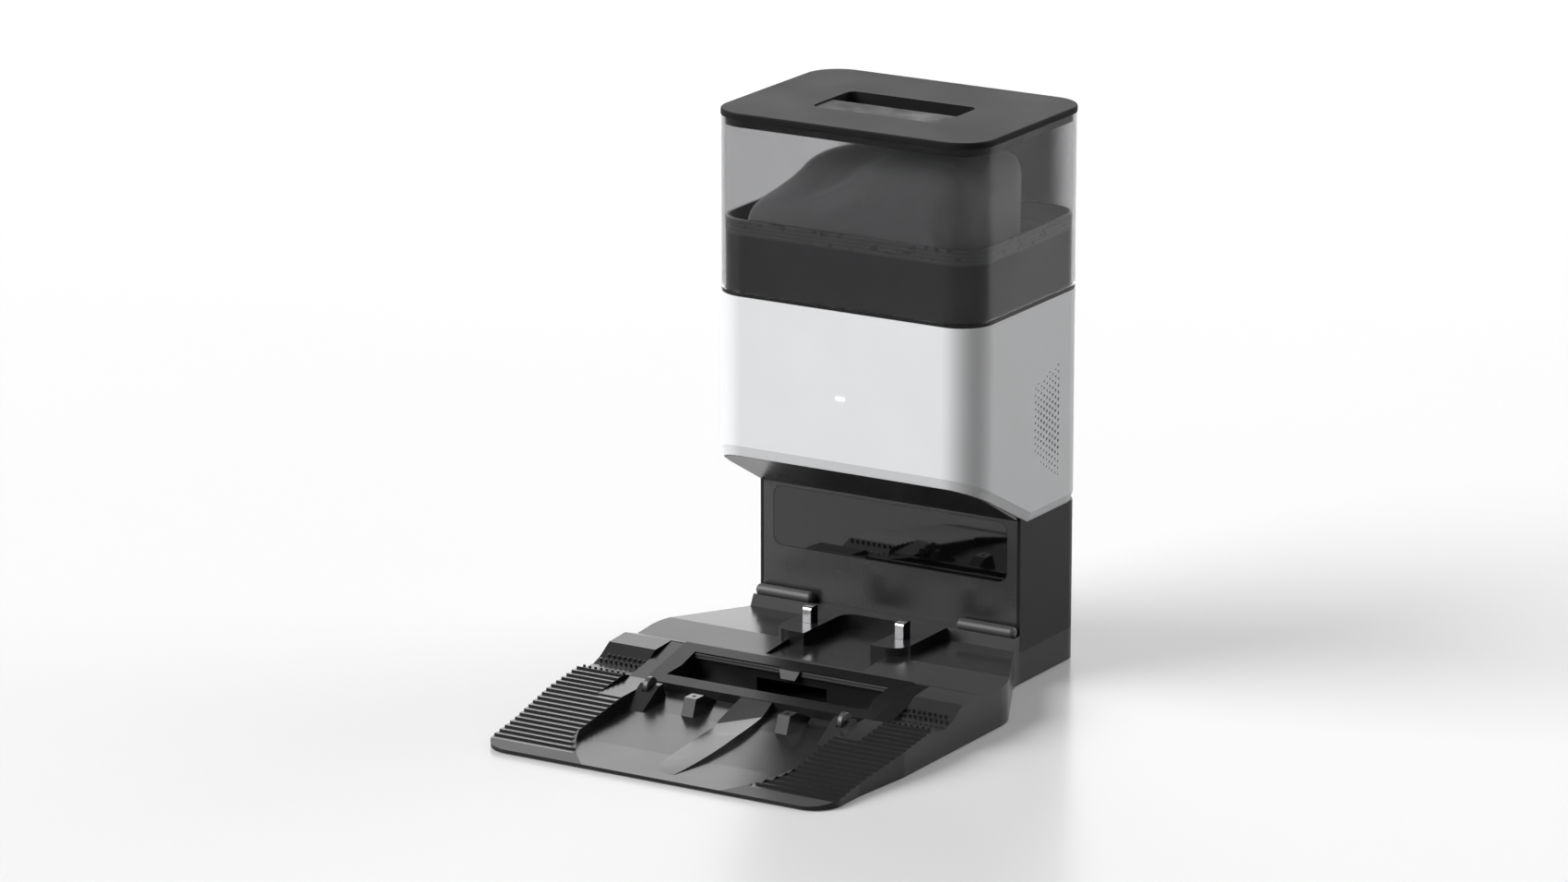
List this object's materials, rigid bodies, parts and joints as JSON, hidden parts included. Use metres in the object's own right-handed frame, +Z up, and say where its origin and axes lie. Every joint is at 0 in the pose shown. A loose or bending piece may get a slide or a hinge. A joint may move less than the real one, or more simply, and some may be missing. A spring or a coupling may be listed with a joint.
{
  "type": "robot vacuum charging dock",
  "caption": "Robot vacuum dock with a ribbed black ramp base, slim column and white head with a smoky see-through lid over its dust bag.",
  "frame": {"origin": "on the floor, under the centre of the bounding box", "axes": "+Z up, +X to the right seen from the front, +Y from the ramp's front edge to the column's rear"},
  "size_m": [0.303, 0.435, 0.427],
  "materials": {
    "base_black": "satin",
    "bumper_grey": "matte",
    "contact_metal": "polished",
    "axle_steel": "satin",
    "screw_steel": "satin",
    "roller_grey": "satin",
    "seal_rubber": "matte",
    "foot_rubber": "matte",
    "shell_white": "satin",
    "window_black": "glossy",
    "board_green": "satin",
    "duct_grey": "satin",
    "lens_white": "glossy",
    "bin_black": "satin",
    "trim_black": "glossy",
    "bag_fleece": "matte",
    "card": "matte",
    "lid_smoke": "glossy",
    "plate_black": "satin",
    "grip_gloss": "glossy",
    "foam_black": "matte",
    "filter_white": "matte",
    "motor_metal": "satin"
  },
  "bodies": {
    "dock": {"air_riser": "duct_grey", "axle_left": "axle_steel", "axle_right": "axle_steel", "bag_bin": "bin_black", "bag_collar": "card", "base_plate": "base_black", "base_screws": "screw_steel", "beacon_board": "board_green", "beacon_window": "window_black", "bin_seal": "seal_rubber", "bumper_pad_left": "bumper_grey", "bumper_pad_right": "bumper_grey", "column_shell": "base_black", "contact_carrier_left": "duct_grey", "contact_carrier_right": "duct_grey", "contact_spring_left": "axle_steel", "contact_spring_right": "axle_steel", "control_board": "board_green", "cover_screws": "screw_steel", "duct_cover": "duct_grey", "dust_bag": "bag_fleece", "exhaust_duct": "duct_grey", "exhaust_foam": "foam_black", "fan_cover": "motor_metal", "filter_frame": "duct_grey", "filter_media": "filter_white", "front_panel": "base_black", "head_tray": "duct_grey", "motor_housing": "duct_grey", "motor_ring_lower": "seal_rubber", "motor_ring_upper": "seal_rubber", "power_board": "board_green", "power_inlet": "bin_black", "rear_cover": "base_black", "riser_gasket": "seal_rubber", "rubber_feet": "foot_rubber", "slot_seal": "seal_rubber", "status_board": "board_green", "status_lens": "lens_white", "suction_motor": "motor_metal", "tray_screws": "screw_steel", "trim_ring": "trim_black", "white_shell": "shell_white"},
    "lid": {"lid_plate": "plate_black", "lid_grip": "grip_gloss", "lid_tub": "lid_smoke"},
    "roller_left": {"roller_left": "roller_grey"},
    "roller_right": {"roller_right": "roller_grey"},
    "contact_left": {"contact_strip_left": "contact_metal", "contact_post_left": "base_black"},
    "contact_right": {"contact_strip_right": "contact_metal", "contact_post_right": "base_black"},
    "impeller": {"fan_impeller": "motor_metal"}
  },
  "joints": [
    {"name": "lid_lift", "type": "slide", "parent": "dock", "child": "lid", "axis": [0, 0, 1], "range_m": [0, 0.15]},
    {"name": "roller_left_turn", "type": "hinge", "parent": "dock", "child": "roller_left", "pos_m": [-0.083, -0.085, 0.0227], "axis": [1, 0, 0], "continuous": true},
    {"name": "roller_right_turn", "type": "hinge", "parent": "dock", "child": "roller_right", "pos_m": [0.083, -0.085, 0.0227], "axis": [1, 0, 0], "continuous": true},
    {"name": "contact_left_press", "type": "slide", "parent": "dock", "child": "contact_left", "axis": [0, 0, 1], "range_m": [-0.003, 0], "stiffness_N_per_m": 400, "springref_m": 0.002, "deforming": ["contact_spring_left"]},
    {"name": "contact_right_press", "type": "slide", "parent": "dock", "child": "contact_right", "axis": [0, 0, 1], "range_m": [-0.003, 0], "stiffness_N_per_m": 400, "springref_m": 0.002, "deforming": ["contact_spring_right"]},
    {"name": "impeller_spin", "type": "hinge", "parent": "dock", "child": "impeller", "pos_m": [0, 0.1205, 0.238], "axis": [0, 0, 1], "continuous": true}
  ]
}
